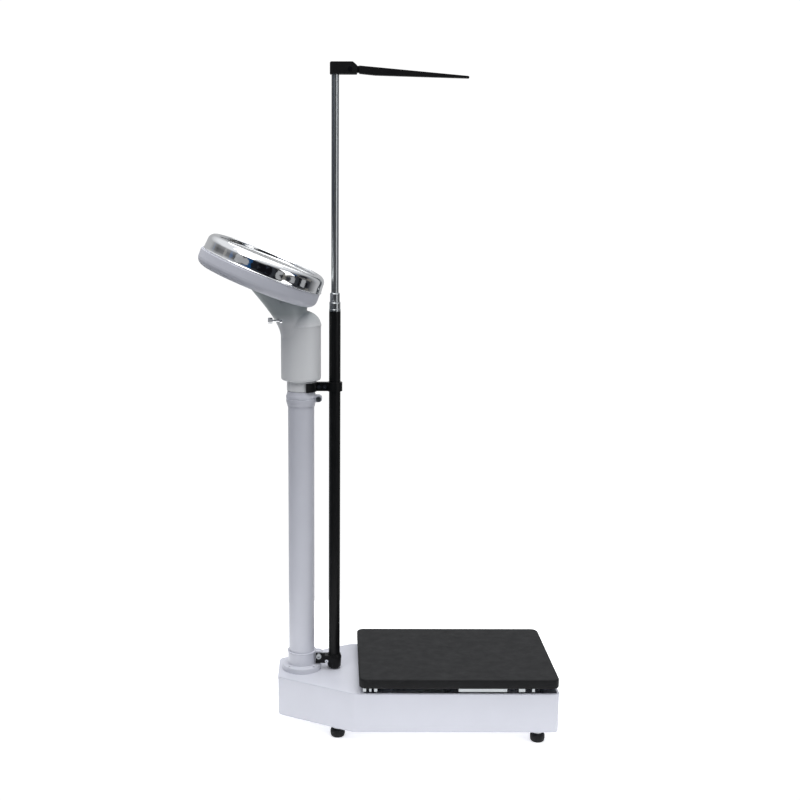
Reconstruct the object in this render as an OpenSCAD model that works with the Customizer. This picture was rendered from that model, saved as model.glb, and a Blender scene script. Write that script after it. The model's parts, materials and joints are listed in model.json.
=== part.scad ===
// Dial column scale for people: a lever platform drives a pull rod inside the column,
// and the rod turns the pointer of a tilted round dial. A telescopic height rod stands
// beside the column. Lengths are in mm, X runs from the column to the platform, Z is up
// and the origin is on the floor under the middle of the whole object.
// Inside the modules, X is measured from the column's axis; in_frame() moves it.

/* [Platform] */
// Length of the platform along X
platform_l = 375; // [340:1:400]
// Width of the platform along Y
platform_w = 275; // [260:1:300]
// Height of the mat's top above the floor
platform_h = 135; // [130:1:140]
// Height of the mat's side face
mat_side = 17.7; // [16:0.1:19]
// Gap between the column's axis and the platform
platform_gap = 111; // [105:1:120]

/* [Base] */
// Height of the cast base
base_h = 77; // [74:1:78]
// Ground clearance under the base
base_clear = 27.3; // [26:0.1:29]
// Depth of the base along Y
base_w = 260; // [250:1:264]
// Diameter of a levelling foot
foot_d = 28; // [24:1:32]

/* [Column] */
// Outer diameter of the column
column_d = 50; // [48:1:52]
// Height of the column's top above the floor
column_top = 700; // [690:1:705]
// Outer diameter of the spring housing
sleeve_d = 76; // [74:1:80]

/* [Dial] */
// Radius of the dial case
case_r = 119; // [116:1:122]
// Tilt of the dial towards the person on the platform, degrees
dial_tilt = 22; // [20:1:24]
// Distance of the dial's centre behind the column's axis
dial_back = 71.6; // [70:0.1:74]
// Height of the dial's centre above the floor
dial_h = 887; // [884:1:890]

/* [Height rod] */
// Distance of the height rod from the column's axis
rod_x = 64; // [62:1:66]
// Outer diameter of the fixed tube
outer_d = 22; // [21:1:23]
// Outer diameter of the middle tube
mid_d = 18; // [17:0.5:18]
// Outer diameter of the inner rod
inner_d = 14; // [13:0.5:14]
// Height of the fixed tube's top above the floor
outer_top = 811; // [805:1:815]
// Height of the head block's underside in the rest pose
head_z = 1244; // [1200:1:1300]
// Reach of the measuring arm from the rod's axis
arm_reach = 244; // [220:1:260]

/* [Mechanism] */
// Length of the short side of both levers, knife edge to knife edge
load_arm = 30; // [30:1:30]
// Travel of the pull rod at full load
rod_travel = 24; // [24:1:24]
// Module of the rack and pinion
gear_module = 0.5; // [0.5:0.1:0.5]
// Number of teeth on the pinion
pinion_teeth = 16; // [16:1:16]

/* [Hidden] */

$fn = 64;
wall = 3;

// Heights above the floor
base_top = base_clear + base_h;
deck_t = 5;
base_floor = base_clear + wall;
mat_bottom = platform_h - mat_side;
tray_top = platform_h - 3.5;
lever_z = 72;
link_z = 50;
sleeve_bottom = 680;
sleeve_top = 785;
dome_top = 813;
hanger_z = 772;
yoke_z = 694;

// Places along X from the column's axis
platform_end = platform_gap + platform_l;
base_end = platform_end + 2;
base_start = -45.5;
taper_end = 98;
deck_end = 120;
long_fulcrum = platform_end - 25;
short_fulcrum = 134.4;
lever_joint = (long_fulcrum + short_fulcrum) / 2;
long_load = long_fulcrum - load_arm;
short_load = short_fulcrum + load_arm;
knife_y = 96;
arm_y = 86;

// Dial frame: t runs down the tilted face, h is the height over the case's rim
case_depth = 31;
case_round = 15;
case_shift = 2.5;
bezel_r = 118;
glass_h = 24;
glass_r = 105;
plate_h = 8;
rack_h = -15;
crank_arm = 36;
swing = atan(rod_travel / 2 / crank_arm);
crank_len = crank_arm / cos(swing);
crank_x = -crank_arm;
crank_h = rack_h - crank_arm;
crank_t = (crank_x + dial_back - crank_h * sin(dial_tilt)) / cos(dial_tilt);
crank_z = dial_h - crank_t * sin(dial_tilt) + crank_h * cos(dial_tilt);

// The whole object spans from the case's far edge to the base's end
case_far = dial_back + (case_r - case_round + case_shift) * cos(dial_tilt)
    + (case_depth - case_round) * sin(dial_tilt) + case_round;
column_x = (case_far - base_end) / 2;

// Paint and metal colours
paint = [0.84, 0.85, 0.88];
grey_paint = [0.66, 0.69, 0.70];
steel = [0.62, 0.63, 0.65];
chrome = [0.85, 0.86, 0.88];
brass = [0.78, 0.66, 0.36];
black = [0.08, 0.08, 0.09];

// ---------- helpers ----------

module in_frame() {
    translate([column_x, 0, 0]) children();
}

// Puts children on the dial: X is t, Z is h
module on_dial() {
    in_frame() translate([-dial_back, 0, dial_h]) rotate([0, dial_tilt, 0]) children();
}

function unit(v) = v / norm(v);

// Arc that rounds corner b of the path a, b, c
function corner_arc(a, b, c, r, steps) =
    let (u = unit(a - b), w = unit(c - b), half = acos(u * w) / 2)
    let (centre = b + unit(u + w) * r / sin(half))
    let (s = b + u * r / tan(half) - centre, e = b + w * r / tan(half) - centre)
    let (start = atan2(s.y, s.x), turn = atan2(s.x * e.y - s.y * e.x, s * e))
    [for (i = [0:steps]) centre + r * [cos(start + turn * i / steps), sin(start + turn * i / steps)]];

// Polygon p with corner i rounded to radius r[i]
function rounded(p, r, steps = 8) =
    let (n = len(p))
    [for (i = [0:n - 1]) each corner_arc(p[(i + n - 1) % n], p[i], p[(i + 1) % n], r[i], steps)];

// Centred box with rounded upright edges
module rounded_box(l, w, h, r) {
    corners = [[-l, -w], [l, -w], [l, w], [-l, w]] / 2;
    linear_extrude(h) polygon(rounded(corners, [r, r, r, r]));
}

// Flat plate in the XZ plane, thickness t from y to y + t
module plate_xz(y, t, points) {
    translate([0, y + t, 0]) rotate([90, 0, 0]) linear_extrude(t) polygon(points);
}

// Cylinder along Y
module pin_y(x, y, z, d, l) {
    translate([x, y, z]) rotate([-90, 0, 0]) cylinder(d = d, h = l);
}

// Cylinder along X
module pin_x(x, y, z, d, l) {
    translate([x, y, z]) rotate([0, 90, 0]) cylinder(d = d, h = l);
}

module tube(od, id, h) {
    difference() {
        cylinder(d = od, h = h);
        translate([0, 0, -1]) cylinder(d = id, h = h + 2);
    }
}

// Straight bar from a to b in the XY plane, on its edge
module bar(a, b, w, h) {
    d = b - a;
    translate([a.x, a.y, 0]) rotate([0, 0, atan2(d.y, d.x)]) translate([0, -w / 2, 0]) cube([norm(d), w, h]);
}

// Round boss where bars meet, standing proud of them by half a millimetre
module boss(p, z, h) {
    translate([p.x, p.y, z - 0.5]) cylinder(d = lever_w + 2.4, h = h + 1);
}

// Mirrors children to both sides of the XZ plane
module both_sides() {
    children();
    mirror([0, 1, 0]) children();
}

// Machine screw with a hexagon socket, head up, its head's underside at the origin
module socket_screw(d, l) {
    head_d = 1.7 * d;
    difference() {
        union() {
            translate([0, 0, -l]) cylinder(d = d, h = l);
            cylinder(d = head_d, h = 0.9 * d);
        }
        translate([0, 0, 0.45 * d]) cylinder(d = 0.9 * d, h = d, $fn = 6);
    }
}

// Hexagon nut standing on the origin
module hex_nut(af, bore, h) {
    difference() {
        cylinder(d = af / cos(30), h = h, $fn = 6);
        translate([0, 0, -1]) cylinder(d = bore, h = h + 2);
    }
}

// Knife edge along +Y from y = 0: a rounded edge at the origin with the wedge above it
module knife(l) {
    edge_r = 1.2;
    pin_y(0, 0, 0, 2 * edge_r, l);
    plate_xz(0, l, [[-edge_r * 0.8, 0.4], [edge_r * 0.8, 0.4], [4, 9], [-4, 9]]);
}

// Bearing block with a V groove open upward, its groove holding a knife at the origin
module knife_bearing(l, below) {
    groove = 2.1;
    plate_xz(0, l, [[-9, -below], [9, -below], [9, 4], [7.2, 4], [0, -groove], [-7.2, 4], [-9, 4]]);
}

// ---------- base ----------

// Half width of the sloping side of the base at x, inset by d
function side_normal() = unit([-(base_w / 2 - 49), taper_end - base_start]);
function base_corners(d) =
    let (n = side_normal(), c = n * [base_start, 49] - d)
    let (x0 = base_start + d, x1 = base_end - d, w = base_w / 2 - d)
    let (y0 = (c - n.x * x0) / n.y, xt = (c - n.y * w) / n.x)
    [[x0, -y0], [xt, -w], [x1, -w], [x1, w], [xt, w], [x0, y0]];

module base_outline(d) {
    radii = [12, 26, 9, 9, 26, 12];
    polygon(rounded(base_corners(d), [for (r = radii) max(r - d, 2)]));
}

foot_places = [[71, -83], [71, 83], [452, 103], [452, -103]];
flange_bolt_r = 30.5;
stud_d = 9.4;
stud_top = 44;
pad_top = 48.3;

module base_housing() {
    bead = 0.5;
    color(paint) in_frame() difference() {
        union() {
            translate([0, 0, base_clear]) linear_extrude(3) base_outline(1.5);
            translate([0, 0, base_clear + 3]) linear_extrude(base_h - 9) base_outline(bead);
            translate([0, 0, base_top - 6]) linear_extrude(4.8) base_outline(0);
            translate([0, 0, base_top - 1.2]) linear_extrude(1.2) base_outline(1);
        }
        difference() {
            translate([0, 0, base_floor]) linear_extrude(base_h) base_outline(4 + bead);
            // deck that carries the column
            translate([base_start, -base_w, base_top - deck_t])
                cube([deck_end - base_start, 2 * base_w, deck_t + 1]);
            for (p = foot_places) translate([p.x, p.y, base_floor - 1])
                cylinder(d = 24, h = pad_top - base_floor + 1);
            // raised pads under the long lever's bearings
            both_sides() translate([long_fulcrum - 22, 93, base_floor - 1])
                cube([50, 40, pad_top - base_floor + 1]);
        }
        for (p = foot_places) translate([p.x, p.y, base_clear - 1])
            cylinder(d = 10, h = stud_top - base_clear + 2);
        translate([0, 0, base_top - deck_t - 1]) cylinder(d = 36, h = deck_t + 2);
        for (a = [45:90:315]) rotate([0, 0, a]) translate([flange_bolt_r, 0, base_top - deck_t - 1])
            cylinder(d = 5, h = deck_t + 2);
    }
}

// Levelling foot: a rubber pad moulded round a steel stud with a hexagon
module foot(i) {
    p = foot_places[i];
    pad = [[0, 0], [11, 0], [13, 2], [foot_d / 2, 7], [foot_d / 2, 12], [12.7, 15.2], [11, 16], [0, 16]];
    in_frame() translate([p.x, p.y, 0]) {
        color(black) rotate_extrude() polygon(pad);
        color(steel) translate([0, 0, 15.5]) cylinder(d = 17, h = 4.5, $fn = 6);
        color(steel) translate([0, 0, 19]) cylinder(d = stud_d, h = stud_top - 19);
    }
}
module foot_1() { foot(0); }
module foot_2() { foot(1); }
module foot_3() { foot(2); }
module foot_4() { foot(3); }

module foot_locknuts() {
    color(chrome) in_frame() for (p = foot_places)
        translate([p.x, p.y, base_clear - 5.5]) hex_nut(17, 10, 5.5);
}

// ---------- levers ----------

bearing_l = 12;
bearing_foot = 6;

bearing_screw = 13.5;

// Bearing post for a fulcrum at x, standing on the base at height z
module bearing_post(x, z) {
    translate([x, knife_y, lever_z]) knife_bearing(bearing_l, lever_z - z);
    for (side = [-1, 1]) translate([x + side * bearing_screw - 5, knife_y, z]) difference() {
        cube([10, bearing_l, bearing_foot]);
        translate([5, bearing_l / 2, -1]) cylinder(d = 4.4, h = bearing_foot + 2);
    }
}
module long_lever_bearings() {
    color(steel) in_frame() both_sides() bearing_post(long_fulcrum, pad_top);
}
module short_lever_bearings() {
    color(steel) in_frame() both_sides() bearing_post(short_fulcrum, base_floor);
}
module bearing_screws() {
    color(chrome) in_frame() both_sides()
        for (p = [[long_fulcrum, pad_top], [short_fulcrum, base_floor]], side = [-1, 1])
            translate([p[0] + side * bearing_screw, knife_y + bearing_l / 2, p[1] + bearing_foot])
                socket_screw(4, bearing_foot - 0.5);
}

lever_w = 8;
lever_t = 16;
fork_x = 330;
nose_x = -7;

// Long lever: two arms from the fulcrum that join into one bar under the column
module long_lever() {
    heel = [long_fulcrum + 6, arm_y];
    bend = [long_load - 14, arm_y];
    fork = [fork_x, 0];
    color(grey_paint) in_frame() translate([0, 0, lever_z - lever_t / 2]) {
        both_sides() {
            bar(heel, bend, lever_w, lever_t);
            bar(bend, fork, lever_w, lever_t);
            boss(bend, 0, lever_t);
        }
        bar(fork, [nose_x, 0], lever_w, lever_t);
        boss(fork, 0, lever_t);
    }
}

// Short lever: its two arms join under the long lever's bar
module short_lever() {
    low = link_z - 4 - (lever_z - lever_t / 2);
    heel = [short_fulcrum - 6, arm_y];
    bend = [short_load + 14, arm_y];
    corner = [lever_joint - 20, 34];
    color(grey_paint) in_frame() translate([0, 0, lever_z - lever_t / 2]) {
        both_sides() {
            bar(heel, bend, lever_w, lever_t);
            bar(bend, corner, lever_w, lever_t);
            boss(bend, 0, lever_t);
            boss(corner, low, lever_t - low);
        }
        translate([0, 0, low]) {
            bar([corner.x, -corner.y], corner, 6.4, 8);
            bar([corner.x, 0], [lever_joint + 6, 0], 6, 8);
        }
    }
}

// Fulcrum knives point down, load knives point up
module lever_knives(fulcrum, load) {
    knife_l = knife_y + bearing_l - arm_y - lever_w / 2;
    both_sides() translate([0, arm_y + lever_w / 2, lever_z]) {
        translate([fulcrum, 0, 0]) knife(knife_l);
        translate([load, 0, 0]) mirror([0, 0, 1]) knife(knife_l);
    }
}
module long_lever_knives() {
    color(chrome) in_frame() lever_knives(long_fulcrum, long_load);
}
module short_lever_knives() {
    color(chrome) in_frame() lever_knives(short_fulcrum, short_load);
}

// Loop of flat steel in the YZ plane, open from y = -in_w/2 to in_w/2 and z0 to z1
module stirrup(in_w, z0, z1, t, l) {
    difference() {
        translate([-l / 2, -in_w / 2 - t, z0 - t]) cube([l, in_w + 2 * t, z1 - z0 + 2 * t]);
        translate([-l / 2 - 1, -in_w / 2, z0]) cube([l + 2, in_w, z1 - z0]);
    }
}
module lever_link() {
    color(chrome) in_frame() translate([lever_joint, 0, 0])
        stirrup(14, link_z - 5, lever_z + lever_t / 2, 2.5, 7);
}

// ---------- platform ----------

platform_mid = platform_gap + platform_l / 2;
tray_gap = 2.7;

module rubber_mat() {
    edge = 1.6;
    color(black) in_frame() translate([platform_mid, 0, 0]) difference() {
        union() {
            translate([0, 0, mat_bottom])
                rounded_box(platform_l, platform_w, mat_side - edge, 10);
            translate([0, 0, platform_h - edge])
                rounded_box(platform_l - 2 * edge, platform_w - 2 * edge, edge, 10 - edge);
        }
        translate([0, 0, mat_bottom - 1])
            rounded_box(platform_l - 2 * tray_gap, platform_w - 2 * tray_gap, tray_top - mat_bottom + 1, 8);
    }
}

module platform_tray() {
    l = platform_l - 2 * tray_gap - 0.4;
    w = platform_w - 2 * tray_gap - 0.4;
    color(steel) in_frame() translate([platform_mid, 0, 0]) difference() {
        translate([0, 0, mat_bottom + 1.5]) rounded_box(l, w, tray_top - mat_bottom - 1.5, 7.8);
        translate([0, 0, mat_bottom]) rounded_box(l - 5, w - 5, tray_top - mat_bottom - 2.5, 5.3);
    }
}

frame_top = tray_top - 2.5;
frame_z = mat_bottom - 5.3;

module platform_frame() {
    color(grey_paint) in_frame() {
        for (x = [short_load, long_load])
            translate([x - 11, -118, frame_z]) cube([22, 236, frame_top - frame_z]);
        for (y = [-62, 50])
            translate([short_load + 11, y, frame_z]) cube([long_load - short_load - 22, 12, frame_top - frame_z]);
    }
}

// Inverted V bearings that rest on the levers' load knives
module platform_bearings() {
    color(chrome) in_frame() both_sides() for (x = [short_load, long_load])
        translate([x, knife_y, lever_z]) mirror([0, 0, 1])
            knife_bearing(bearing_l, frame_z - lever_z);
}

// Steel strips and small blocks under the tray's long sides that stop it on the base's rim
module travel_stops() {
    stop_h = frame_top - base_top - 2.6;
    color(chrome) in_frame() both_sides() {
        translate([298, 112, base_top + 2.6]) cube([91, 14, stop_h]);
        for (b = [[118, 6], [130, 4], [139, 6], [411, 12], [436, 5]])
            translate([b[0], 118.5, base_top + 2.6]) cube([b[1], 7.5, stop_h]);
    }
}

// ---------- column ----------

flange_d = 76;
flange_t = 10.6;
clamp_d = 54;
clamp_top = 142;
ear_x = 33.5;
bolt_d = 6;
ear_plate = 4;

// Pinch ear on the +X side of a clamp ring, between z0 and z1
module ear_body(z0, z1) {
    r = (z1 - z0) / 2;
    translate([column_d / 2 + 0.6, -8, z0]) cube([ear_x - column_d / 2 - 0.6, 16, z1 - z0]);
    pin_y(ear_x, -8, z0 + r, 2 * r, 16);
}
// Slot and bolt hole of a pinch ear
module ear_cut(z0, z1, bolt_z) {
    translate([column_d / 2 - 4, -0.8, z0 - 1]) cube([30, 1.6, z1 - z0 + 2]);
    pin_y(ear_x, -20, bolt_z, bolt_d + 0.2, 40);
}

module column_flange() {
    bolt_z = clamp_top - 9;
    profile = [[column_d / 2 + 0.05, 0], [flange_d / 2, 0], [flange_d / 2, 7.5],
        [flange_d / 2 - 1, 9.8], [flange_d / 2 - 3.4, flange_t], [clamp_d / 2 + 1.5, flange_t],
        [clamp_d / 2, flange_t + 1.5], [clamp_d / 2, clamp_top - base_top - 2.5],
        [clamp_d / 2 + 1.6, clamp_top - base_top - 1.5], [clamp_d / 2 + 1.6, clamp_top - base_top],
        [column_d / 2 + 0.05, clamp_top - base_top]];
    color(paint) in_frame() difference() {
        union() {
            translate([0, 0, base_top]) rotate_extrude() polygon(profile);
            ear_body(clamp_top - 17, clamp_top - 1);
        }
        translate([0, 0, base_top - 1]) cylinder(d = column_d + 0.1, h = 60);
        ear_cut(base_top + flange_t + 4, clamp_top, bolt_z);
        for (a = [45:90:315]) rotate([0, 0, a]) translate([flange_bolt_r + 3, 0, base_top - 1])
            cylinder(d = 4.4, h = 14);
    }
}

module flange_screws() {
    color(chrome) in_frame() for (a = [45:90:315]) rotate([0, 0, a])
        translate([flange_bolt_r + 3, 0, base_top + flange_t - 2.2]) cylinder(d = 4.2, h = 2.2);
}

module column_tube() {
    color(paint) in_frame() translate([0, 0, base_top])
        tube(column_d, column_d - 6, column_top - base_top);
}

collar_z = 630;
collar_top = 659;

// Two stepped rings that pinch the head's neck to the column
module column_collar() {
    r = column_d / 2;
    profile = [[r + 0.05, 0], [r + 1.2, 0], [r + 1.2, 2], [r + 3.4, 9], [r + 3.4, 14],
        [r + 2.4, 15], [r + 3.6, 16], [r + 3.6, 20], [r + 2.4, 23], [r + 0.9, 29], [r + 0.05, 29]];
    color(paint) in_frame() difference() {
        union() {
            translate([0, 0, collar_z]) rotate_extrude() polygon(profile);
            ear_body(collar_z + 8, collar_z + 21);
        }
        translate([0, 0, collar_z - 1]) cylinder(d = column_d + 0.1, h = 40);
        ear_cut(collar_z, collar_top, collar_z + 14.5);
    }
}

// Bolts and nuts of the two pinch ears
module clamp_bolts() {
    // bolt height and how far the bolt's head stands off the ear
    color(chrome) in_frame() for (b = [[clamp_top - 9, ear_plate], [collar_z + 14.5, 0]]) {
        translate([ear_x, -8 - b[1], b[0]]) rotate([90, 0, 0]) socket_screw(bolt_d, 24 + b[1]);
        translate([ear_x, 13, b[0]]) rotate([90, 0, 0]) hex_nut(10, bolt_d + 0.1, 5);
    }
}

// ---------- head ----------

neck_rings = 10;
neck_sides = 40;
neck_wall = 3.2;
dome_gap = 0.3;

function cubic(p, s) = p[0] * pow(1 - s, 3) + 3 * p[1] * s * pow(1 - s, 2)
    + 3 * p[2] * s * s * (1 - s) + p[3] * pow(s, 3);

// Point on the dial at t and h, in the XZ plane
function dial_point(t, h) = [-dial_back + t * cos(dial_tilt) + h * sin(dial_tilt),
    dial_h - t * sin(dial_tilt) + h * cos(dial_tilt)];

// The neck's rear and front edges in the XZ plane, from the spring housing to the case
neck_rear = [[-38, 764], [-40, 786], [-60, 814], dial_point(-26, -case_depth)];
neck_front = [[22, 764], [18, 786], [7, 806], dial_point(104, -case_depth)];

// Point of the neck at height s and angle w, d inside its outer face
function neck_point(s, w, d) =
    let (a = cubic(neck_rear, s), b = cubic(neck_front, s), mid = (a + b) / 2)
    let (half = norm(b - a) / 2 - d, along = unit(b - a), depth = 35 + 6 * s - d)
    [mid.x + along.x * half * cos(w), depth * sin(w), mid.y + along.y * half * cos(w)];

// Distance of point p outside the spring housing's sleeve or dome
function housing_gap(p) = let (r = sleeve_d / 2, rho = norm([p.x, p.y]))
    p.z < sleeve_top ? rho - r : (norm([rho / r, (p.z - sleeve_top) / (dome_top - sleeve_top)]) - 1) * r;

// Height s where the neck's line at angle w comes out of the spring housing
function leaves_housing(w, d, lo = 0, hi = 1, steps = 16) =
    steps == 0 ? hi : let (mid = (lo + hi) / 2)
    housing_gap(neck_point(mid, w, d)) > dome_gap ?
        leaves_housing(w, d, lo, mid, steps - 1) : leaves_housing(w, d, mid, hi, steps - 1);

// One side of the neck's wall, as rings from the housing up to the dial case
function neck_rings_at(d) =
    let (angles = [for (i = [0:neck_sides - 1]) 360 * i / neck_sides])
    let (starts = [for (w = angles) leaves_housing(w, d)])
    [for (k = [0:neck_rings], i = [0:neck_sides - 1])
        neck_point(starts[i] + (1 - starts[i]) * k / neck_rings, angles[i], d)];

// Hollow neck: its rings run up the outside, over the top edge and down the inside
module neck_shell() {
    n = neck_sides;
    layers = 2 * (neck_rings + 1);
    outside = neck_rings_at(0);
    inside = neck_rings_at(neck_wall);
    points = concat(outside, [for (k = [neck_rings:-1:0], i = [0:n - 1]) inside[k * n + i]]);
    faces = [for (k = [0:layers - 1], i = [0:n - 1])
        let (a = k * n + i, b = k * n + (i + 1) % n, c = (k + 1) % layers * n + i,
            e = (k + 1) % layers * n + (i + 1) % n)
        each [[a, c, e], [a, e, b]]];
    polyhedron(points, faces, convexity = 6);
}

knob_y = -28;
knob_z = 795.5;

module dial_neck() {
    color(grey_paint) in_frame() difference() {
        neck_shell();
        pin_x(-60, knob_y, knob_z, 4.4, 40);
    }
}

// Sleeve that holds the weighing springs, closed by a dome that opens into the neck
module spring_housing() {
    r = sleeve_d / 2;
    in_r = r - wall;
    dome_h = dome_top - sleeve_top;
    outside = concat(
        [[0, sleeve_bottom], [r - 7, sleeve_bottom]],
        [for (a = [-75:15:-15]) [r - 5 + 5 * cos(a), sleeve_bottom + 5 + 5 * sin(a)]],
        [[r, sleeve_bottom + 6]],
        [for (a = [0:9:90]) [r * cos(a), sleeve_top + dome_h * sin(a)]]);
    inside = concat(
        [[0, sleeve_bottom + 5], [in_r, sleeve_bottom + 5]],
        [for (a = [0:9:90]) [in_r * cos(a), sleeve_top + (dome_h - wall) * sin(a)]]);
    color(grey_paint) in_frame() difference() {
        union() {
            rotate_extrude() polygon(outside);
            translate([0, 0, collar_top]) cylinder(d = column_d + 4, h = sleeve_bottom - collar_top + 1);
        }
        difference() {
            rotate_extrude() polygon(inside);
            both_sides() translate([-8, 27, hanger_z - 6]) cube([16, 10, 6]);
        }
        translate([0, 0, collar_top - 1]) cylinder(d = column_d + 0.1, h = 40);
        translate([-12, 0, sleeve_top]) cylinder(r = 21, h = 40);
        both_sides() translate([0, 31, hanger_z - 7]) cylinder(d = 3.4, h = 12);
    }
}

// Bar across the spring housing that the springs hang from
module spring_hanger() {
    color(steel) in_frame() translate([0, 0, hanger_z]) difference() {
        intersection() {
            translate([-7, -38, 0]) cube([14, 76, 4]);
            cylinder(r = sleeve_d / 2 - wall - 0.3, h = 4);
        }
        translate([0, 0, -1]) cylinder(d = 9, h = 6);
        both_sides() translate([0, 31, -1]) cylinder(d = 3.4, h = 6);
    }
}
module hanger_screws() {
    color(chrome) in_frame() both_sides() translate([0, 31, hanger_z + 4]) {
        cylinder(d = 6, h = 2.2, $fn = 6);
        translate([0, 0, -9]) cylinder(d = 3.2, h = 9);
    }
}

spring_y = 12;
spring_r = 6;
wire = 2;

// Two close-wound extension springs, shown as stacked turns between their end loops
module weighing_springs() {
    coil_z = yoke_z + 13;
    turns = 28;
    pitch = (hanger_z - 8 - coil_z) / (turns - 1);
    color(chrome) in_frame() both_sides() translate([0, spring_y, 0]) {
        rotate_extrude() union() {
            for (i = [0:turns - 1]) translate([spring_r, coil_z + i * pitch]) circle(d = wire, $fn = 24);
            translate([spring_r - 0.35, coil_z]) square([0.7, (turns - 1) * pitch]);
        }
        for (z = [yoke_z + 5, coil_z]) translate([0, 0, z]) cylinder(d = wire, h = coil_z - yoke_z - 5);
        translate([0, 0, coil_z]) cylinder(r = spring_r, h = wire / 2);
        translate([0, 0, hanger_z - 9]) cylinder(r = spring_r, h = wire / 2);
        translate([0, 0, hanger_z - 8.5]) cylinder(d = wire, h = 8.5);
    }
}

module spring_yoke() {
    color(steel) in_frame() translate([0, 0, yoke_z]) difference() {
        intersection() {
            translate([-6, -18, 0]) cube([12, 36, 5]);
            cylinder(r = 18, h = 5);
        }
        translate([0, 0, -1]) cylinder(d = 6, h = 7);
    }
}

rod_d = 6;
rod_top = 818;

// Pull rod with the loop that hangs on the long lever's nose
module pull_rod() {
    loop_top = lever_z + lever_t / 2 + 1;
    color(steel) in_frame() {
        stirrup(14, lever_z - lever_t / 2 - 1, loop_top, 2.5, 7);
        translate([0, 0, loop_top + 1]) cylinder(d = rod_d, h = rod_top - loop_top - 1);
    }
}

// Slotted plate on top of the pull rod; the bell crank's pin rides in its slot
module rod_head_plate() {
    pin_z = crank_z + rod_travel / 2;
    slot_h = 4.8;
    color(steel) in_frame() difference() {
        translate([-6, 3, pin_z - 24]) cube([12, 2.5, 29]);
        translate([-3.6, 2, pin_z - slot_h / 2]) cube([8.4, 5, slot_h]);
    }
}

// Two cheeks that carry the crank's pin, each with a foot inside the case
module crank_bracket() {
    color(steel) on_dial() for (y = [-11, 8.5]) difference() {
        union() {
            pin_y(crank_t, y, crank_h, 12, 2.5);
            translate([crank_t - 6, y, crank_h]) cube([12, 2.5, -case_depth - crank_h]);
            translate([crank_t - 6, y, -case_depth - 1]) cube([12, 2.5, 6]);
            // foot on the case's floor beside the passage
            translate([crank_t - 6, y < 0 ? -20 : y, -case_depth + 3]) cube([12, 11.5, 2.5]);
        }
        pin_y(crank_t, y - 1, crank_h, 5, 5);
    }
}
module crank_pin() {
    color(chrome) on_dial() {
        pin_y(crank_t, -11.5, crank_h, 4.96, 23);
        pin_y(crank_t, -13, crank_h, 7, 1.5);
        pin_y(crank_t, 11.5, crank_h, 7, 1.5);
    }
}

// Two-armed lever that turns the rod's vertical pull into the rack's slide
module bell_crank() {
    // directions of the two arms in the dial frame, degrees from the t axis
    to_rod = dial_tilt + swing;
    to_rack = 90 + swing;
    pin_w = 4;
    color(brass) on_dial() translate([crank_t, 0, crank_h]) difference() {
        union() {
            pin_y(0, -7.5, 0, 10, 15);
            for (a = [to_rod, to_rack]) rotate([0, -a, 0]) {
                translate([0, -1.5, -4]) cube([crank_len, 3, 8]);
                pin_y(crank_len, -1.5, 0, 8, 3);
                pin_y(crank_len, -1.5, 0, pin_w, 9);
            }
        }
        pin_y(0, -8.5, 0, 5.06, 17);
    }
}

// ---------- dial movement ----------

pitch_r = gear_module * pinion_teeth / 2;
base_r = pitch_r * cos(20);
tip_r = pitch_r + 0.9 * gear_module;
root_r = pitch_r - 1.2 * gear_module;
backlash = 0.1;
tooth_pitch = PI * gear_module;
rack_y = pitch_r + 0.06;

// Half the angle of a pinion tooth at radius r
function flank_angle(r) = r <= base_r ? 0 : let (a = acos(base_r / r)) tan(a) * 180 / PI - a;
function tooth_half(r) = (tooth_pitch / 2 - backlash) / 2 / pitch_r * 180 / PI
    + flank_angle(pitch_r) - flank_angle(r);

module pinion_outline() {
    radii = [root_r, base_r, (base_r + pitch_r) / 2, pitch_r, tip_r];
    rising = [for (r = radii) [r, -tooth_half(r)]];
    falling = [for (i = [4:-1:0]) [radii[i], tooth_half(radii[i])]];
    polygon([for (k = [0:pinion_teeth - 1], p = concat(rising, falling))
        let (a = 90 + k * 360 / pinion_teeth + p[1]) p[0] * [cos(a), sin(a)]]);
}

gear_w = 5;

module rack_tooth() {
    half = (tooth_pitch / 2 - backlash) / 2;
    tip = 0.8 * gear_module;
    root = 1.3 * gear_module;
    slope = tan(20);
    polygon([[-half - root * slope, root + 0.01], [-half + tip * slope, -tip],
        [half - tip * slope, -tip], [half + root * slope, root + 0.01]]);
}

rack_end = crank_t - rod_travel / 2 + 10;

// Toothed bar that slides down the face's slope, with a slot for the crank's pin
module rack() {
    slot_w = 4.7;
    pin_t = crank_t - rod_travel / 2;
    color(brass) on_dial() difference() {
        union() {
            translate([0, 0, rack_h - gear_w / 2]) linear_extrude(gear_w) {
                for (k = [-20:3]) translate([(k + 0.5) * tooth_pitch, rack_y]) rack_tooth();
                translate([-33, rack_y + 1.3 * gear_module]) square([33 + rack_end, 5]);
            }
            translate([pin_t - 8, rack_y + 1.3 * gear_module, rack_h - 7]) cube([18, 3, 14]);
        }
        translate([pin_t - slot_w / 2, 0, rack_h - 4]) cube([slot_w, 12, 12]);
    }
}

shaft_top = 16;

module pinion_shaft() {
    color(steel) on_dial() {
        translate([0, 0, -25]) cylinder(d = 3, h = shaft_top + 25);
        translate([0, 0, rack_h - gear_w / 2 - 0.5]) linear_extrude(gear_w + 1) pinion_outline();
    }
}

pointer_h = 12;

// Needle pointing up the slope, at the zero mark
module pointer() {
    color(black) on_dial() translate([0, 0, pointer_h]) difference() {
        union() {
            linear_extrude(1.2) polygon([[-92, -0.4], [-92, 0.4], [-70, 1.6], [0, 3.4], [26, 4.2],
                [26, -4.2], [0, -3.4], [-70, -1.6]]);
            cylinder(d = 14, h = 2.6);
        }
        translate([0, 0, -1]) cylinder(d = 3.02, h = 6);
    }
}

movement_low = -24;
movement_top = -7;
frame_posts = [[-38, -14], [-38, 16], [34, -14], [34, 16]];

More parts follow.
